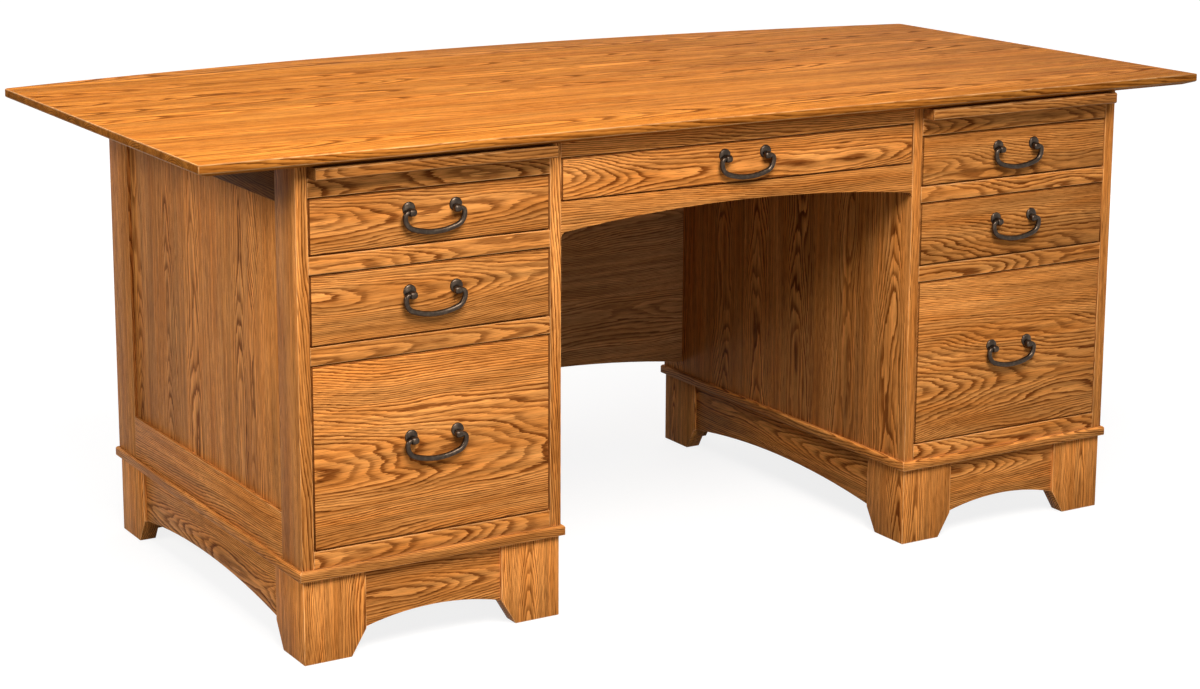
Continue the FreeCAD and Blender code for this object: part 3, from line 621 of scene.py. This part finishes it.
# how far below its middle the heart of each front lies, in shares of its height, and its tone
FRONTS = {"centre": (0.1, 1.10),
          "left_file": (0.05, 1.04), "left_middle": (-0.2, 0.84), "left_shallow": (-0.1, 0.87),
          "right_file": (0.15, 0.96), "right_middle": (0.5, 0.77), "right_shallow": (0.35, 0.84)}

for name in DRAWERS:
    heart, tone = FRONTS[name]
    made.append(dress(f"{name}_front", f"{name}_drawer", arris_mm=1.0, rubbed=GATHERED_STAIN_AND_GAP_SHADE_OAK,
                      along=X, tones=(tone, tone), heart=heart))
    made.append(dress(f"{name}_box", f"{name}_drawer", arris_mm=0.5, finish=PALE_WOOD,
                      rubbed=PALE_WOOD))
print("pieces of the case and drawers:", len(made))

# %% [markdown]
# ## The top
# The top is glued up from eight planks that run along the desk. It could be sawn into eight solids, but the
# glue hides every seam. So it stays one: its faces are cut along each glue line with bisect, and the strip
# between two cuts gets a log of its own, as in the other wide boards. Its upright edges are darker than
# its face, the ends most of all.

# %% Glue up the top
TOP_PLANKS = (12, 10, 13, 10, 12, 11, 13, 12)
END_SHARE, EDGE_SHARE = 0.62, 0.8
UPRIGHT, END_ON = 0.5, 0.7


def darken_upright_faces(piece, ends, edges):
    """Darken the upright faces of a board; its ends, across the grain, the most."""
    tone = piece.data.attributes["tone"].data
    for face in piece.data.polygons:
        if abs(face.normal.z) < UPRIGHT:
            for corner in face.loop_indices:
                tone[corner].value *= ends if abs(face.normal.x) > END_ON else edges


made.append(dress("desktop", "desk", arris_mm=1.6, finish=TOP_OAK, along=X, planks=(Y, TOP_PLANKS),
                  tones=(0.76, 0.88)))
darken_upright_faces(made[-1], END_SHARE, EDGE_SHARE)
print("wooden pieces:", len(made), "faces:", sum(len(piece.data.polygons) for piece in made))

# %% [markdown]
# ## Oil-rubbed bronze
# The pulls are cast, blackened and rubbed with oil: a dark brown metal whose high spots show a warmer
# bronze. One even colour would look like painted plastic. So a fine noise gives the cast skin its slightly
# uneven gloss, and a coarser one the patches that hands have rubbed bare.

# %% Bronze finish
# a cast skin about 1 mm in grain, and rubbed patches about 6 mm wide
SKIN_PER_METRE, PATCHES_PER_METRE = 900.0, 160.0

bronze, tree = new_material("oil_rubbed_bronze")
place_on = add(tree, "ShaderNodeTexCoord")
skin = add(tree, "ShaderNodeTexNoise", {"Vector": place_on.outputs["Object"]},
           {"Scale": SKIN_PER_METRE, "Detail": 3.0})
worn = add(tree, "ShaderNodeTexNoise", {"Vector": place_on.outputs["Object"]},
           {"Scale": PATCHES_PER_METRE, "Detail": 2.0})
rub = add(tree, "ShaderNodeMapRange", {"Value": worn.outputs["Fac"]}, {"From Min": 0.45, "From Max": 0.75})
colour = add(tree, "ShaderNodeMix", {0: rub.outputs[0]}, {6: linear("#3C322A"), 7: linear("#54483C")},
             data_type="RGBA")
dull = add(tree, "ShaderNodeMapRange", {"Value": skin.outputs["Fac"]}, {"To Min": 0.24, "To Max": 0.38})
cast = add(tree, "ShaderNodeBump", {"Height": skin.outputs["Fac"]}, {"Strength": 0.08, "Distance": 0.0003})
metal = add(tree, "ShaderNodeBsdfPrincipled",
            {"Base Color": colour.outputs[2], "Roughness": dull.outputs[0], "Normal": cast.outputs[0]},
            {"Metallic": 0.9})
add(tree, "ShaderNodeOutputMaterial", {"Surface": metal.outputs[0]})
print("pull finish:", bronze.name)

# %% [markdown]
# ## Zinc-plated steel
# The slides are drawn from steel strip and plated, so their gloss is streaked along the slide. They could be
# dressed as the boards are, but the CAD members are bent and nested as they should be, so only their material
# changes.

# %% Steel finish
# streaks less than 2 mm wide and some 170 mm long, along Y
STREAKS_PER_METRE = (600.0, 6.0, 600.0)

zinc, tree = new_material("zinc_plated_steel")
place_on = add(tree, "ShaderNodeTexCoord")
drawn = add(tree, "ShaderNodeMapping", {"Vector": place_on.outputs["Object"]}, {"Scale": STREAKS_PER_METRE})
streak = add(tree, "ShaderNodeTexNoise", {"Vector": drawn.outputs[0]}, {"Scale": 1.0, "Detail": 2.0})
colour = add(tree, "ShaderNodeMix", {0: streak.outputs["Fac"]}, {6: linear("#B4B7BB"), 7: linear("#DADDE0")},
             data_type="RGBA")
dull = add(tree, "ShaderNodeMapRange", {"Value": streak.outputs["Fac"]}, {"To Min": 0.36, "To Max": 0.55})
metal = add(tree, "ShaderNodeBsdfPrincipled", {"Base Color": colour.outputs[2], "Roughness": dull.outputs[0]},
            {"Metallic": 1.0})
add(tree, "ShaderNodeOutputMaterial", {"Surface": metal.outputs[0]})

slides = ["case_slides"] + [f"{name}_slides" for name in DRAWERS]
for node in slides:
    frame["nodes"][node].data.materials.clear()
    frame["nodes"][node].data.materials.append(zinc)
print("slides in", zinc.name, "on", len(slides), "nodes")

# %% [markdown]
# ## Drop-bail pulls
# A post is turned: a round rosette swells out of the drawer front, narrows to a stem and ends in a knuckle.
# It starts as a circle that is extruded and resized, ring by ring, as on a lathe, and a mirror makes its
# twin. The bail is a bent, tapering rod: a circle is spun along the arcs of the bow, the corner and the
# shoulder, then drawn in to the pin. A bevelled curve could follow the same arcs, but a spun rod has rings
# to taper one by one. Both are made once, in millimetres around the hinge line, and copied to every drawer.

# %% Turn a form on a lathe
TURN = {"X": (0, math.pi / 2, 0), "Y": (math.pi / 2, 0, 0)}
STEP = {"X": Vector((1, 0, 0)), "Y": Vector((0, -1, 0))}


def turned(axis, rings, sides):
    """A turned form: rings of (place along the axis, radius), in millimetres, extruded one from the other."""
    step = STEP[axis]
    place, radius = rings[0]
    bpy.ops.object.select_all(action="DESELECT")
    bpy.ops.mesh.primitive_circle_add(vertices=sides, radius=radius, fill_type="NGON",
                                      location=step * place, rotation=TURN[axis])
    bpy.ops.object.transform_apply(location=True, rotation=True, scale=True)
    bpy.ops.object.mode_set(mode="EDIT")
    bpy.ops.mesh.select_all(action="SELECT")
    for next_place, next_radius in rings[1:]:
        bpy.ops.mesh.extrude_region_move(TRANSFORM_OT_translate={"value": step * (next_place - place)})
        share = next_radius / radius
        bpy.ops.transform.resize(value=(share, share, share), center_override=step * next_place)
        place, radius = next_place, next_radius
    bpy.ops.mesh.select_all(action="SELECT")
    bpy.ops.mesh.normals_make_consistent(inside=False)
    bpy.ops.object.mode_set(mode="OBJECT")
    return bpy.context.object


rosette = turned("Y", [(0, 10.3), (1.2, 10.3), (2.0, 9.9), (2.8, 8.9), (3.5, 7.3), (4.0, 5.3), (4.3, 2.7)], 30)
print("faces of a rosette:", len(rosette.data.polygons))

# %% Turn and join the posts
PIVOT_OUT, POST_SPACING, ROSETTE_RISE = 9.0, 76.0, 4.5
POST_SMOOTH = math.radians(40)

rosette.data.transform(Matrix.Translation((0, 0, ROSETTE_RISE)))
stem = turned("Y", [(1.0, 5.4), (3.2, 4.9), (5.0, 4.3), (7.0, 4.0), (PIVOT_OUT, 4.0)], 20)
# the knuckle's inner end is domed and reaches past the rosette
knuckle = turned("X", [(-7.6, 2.4), (-7.2, 3.8), (-6.4, 4.9), (-5.0, 5.6), (-3.4, 5.8), (1.2, 5.8), (2.9, 5.4),
                       (3.5, 4.8), (3.7, 4.0)], 24)
knuckle.data.transform(Matrix.Translation((0, -PIVOT_OUT, 0)))
activate(rosette)
stem.select_set(True)
knuckle.select_set(True)
bpy.ops.object.join()
posts = bpy.context.object
posts.name = "posts_pattern"
posts.data.transform(Matrix.Translation((POST_SPACING / 2, PIVOT_OUT, 0)))
mirror = posts.modifiers.new("other_post", "MIRROR")
bpy.ops.object.modifier_apply(modifier=mirror.name)
bpy.ops.object.shade_smooth_by_angle(angle=POST_SMOOTH)
print("faces of two posts:", len(posts.data.polygons))

# %% Bend a bail
HALF_WIDTH, DROP, CORNER, SHOULDER = 48.0, 31.0, 18.0, 6.0
CORNER_TURN = math.radians(70)
BOW_STEPS, CORNER_STEPS, SHOULDER_STEPS = 4, 8, 6
RING_SIDES = 18
# the pin ends this far short of the middle of its post
PIN_SHORT = 0.5

bow = (HALF_WIDTH - CORNER * (1 - math.cos(CORNER_TURN))) / math.cos(CORNER_TURN)
corner_z = -DROP + bow * (1 - math.sin(CORNER_TURN)) + CORNER * math.sin(CORNER_TURN)
bpy.ops.object.select_all(action="DESELECT")
bpy.ops.mesh.primitive_circle_add(vertices=RING_SIDES, radius=1.0, location=(0, 0, -DROP),
                                  rotation=(0, math.pi / 2, 0))
bpy.ops.object.transform_apply(location=True, rotation=True, scale=True)
bail = bpy.context.object
bail.name = "bail_pattern"
bpy.ops.object.mode_set(mode="EDIT")
bpy.ops.mesh.select_all(action="SELECT")
for steps, angle, centre in ((BOW_STEPS, math.pi / 2 - CORNER_TURN, (0, 0, bow - DROP)),
                             (CORNER_STEPS, CORNER_TURN, (HALF_WIDTH - CORNER, 0, corner_z))):
    bpy.ops.mesh.spin(steps=steps, angle=angle, center=centre, axis=(0, 1, 0))
bpy.ops.mesh.extrude_region_move(TRANSFORM_OT_translate={"value": (0, 0, -SHOULDER - corner_z)})
bpy.ops.mesh.spin(steps=SHOULDER_STEPS, angle=math.pi / 2, center=(HALF_WIDTH - SHOULDER, 0, -SHOULDER),
                  axis=(0, 1, 0))
pin_run = HALF_WIDTH - SHOULDER - POST_SPACING / 2 - PIN_SHORT
bpy.ops.mesh.extrude_region_move(TRANSFORM_OT_translate={"value": (-pin_run, 0, 0)})
bpy.ops.mesh.edge_face_add()
bpy.ops.object.mode_set(mode="OBJECT")
rings = len(bail.data.vertices) // RING_SIDES
print("bail rings in one half:", rings)

# %% [markdown]
# The rod so far is 1 mm in radius all along. Every ring is now resized about its own middle: stout in the
# bow, thinning through the corner to the neck, and thinnest where the pin enters the post. A mirror makes
# the other half, and the seam in the middle of the bow is merged away.

# %% Taper the bail
THICK, NECK, PIN = 4.2, 4.0, 3.3
BOW_RINGS = BOW_STEPS + 1
NECK_RINGS = BOW_RINGS + CORNER_STEPS

for number in range(rings):
    if number < BOW_RINGS:
        radius = THICK
    elif number < NECK_RINGS:
        radius = THICK + (NECK - THICK) * (number - BOW_RINGS + 1) / CORNER_STEPS
    else:
        radius = NECK + (PIN - NECK) * min(1, (number - NECK_RINGS) / SHOULDER_STEPS) ** 2
    own = range(number * RING_SIDES, (number + 1) * RING_SIDES)
    middle = sum((bail.data.vertices[i].co for i in own), Vector()) / RING_SIDES
    activate(bail)
    bpy.ops.object.mode_set(mode="EDIT")
    bpy.ops.mesh.select_all(action="DESELECT")
    bpy.ops.object.mode_set(mode="OBJECT")
    for i in own:
        bail.data.vertices[i].select = True
    bpy.ops.object.mode_set(mode="EDIT")
    bpy.ops.transform.resize(value=(radius, radius, radius), center_override=middle)
    bpy.ops.object.mode_set(mode="OBJECT")
print("radius at the pin:", round(radius, 2), "mm")

# %% Mirror the bail
MERGE_MM = 0.01
BAIL_SMOOTH = math.radians(50)

mirror = bail.modifiers.new("other_half", "MIRROR")
mirror.merge_threshold = MERGE_MM
bpy.ops.object.modifier_apply(modifier=mirror.name)
bpy.ops.object.mode_set(mode="EDIT")
bpy.ops.mesh.select_all(action="SELECT")
bpy.ops.mesh.remove_doubles(threshold=MERGE_MM)
bpy.ops.mesh.normals_make_consistent(inside=False)
bpy.ops.object.mode_set(mode="OBJECT")
bpy.ops.object.shade_smooth_by_angle(angle=BAIL_SMOOTH)
print("bail faces:", len(bail.data.polygons))

# %% Hang a pull on every drawer
MILLIMETRE = 0.001


def cast_copy(name, pattern, hinge, body, node):
    """A bronze copy of a pattern at a hinge, in metres, riding on its body."""
    piece = bpy.data.objects.new(name, pattern.data.copy())
    bpy.context.scene.collection.objects.link(piece)
    piece.data.transform(Matrix.Translation(hinge) @ Matrix.Scale(MILLIMETRE, 4))
    piece.data.materials.append(bronze)
    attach(piece, body)
    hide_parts(node)


hinges = {joint["child"]: Vector(joint["pos_m"]) for joint in frame["joints"] if joint["type"] == "hinge"}
for name in DRAWERS:
    hinge = hinges[f"{name}_pull"]
    cast_copy(f"{name}_posts_cast", posts, hinge, f"{name}_drawer", f"{name}_pull_posts")
    cast_copy(f"{name}_bail_cast", bail, hinge, f"{name}_pull", f"{name}_bail")
bpy.data.objects.remove(posts)
bpy.data.objects.remove(bail)
print("pulls:", len(DRAWERS))
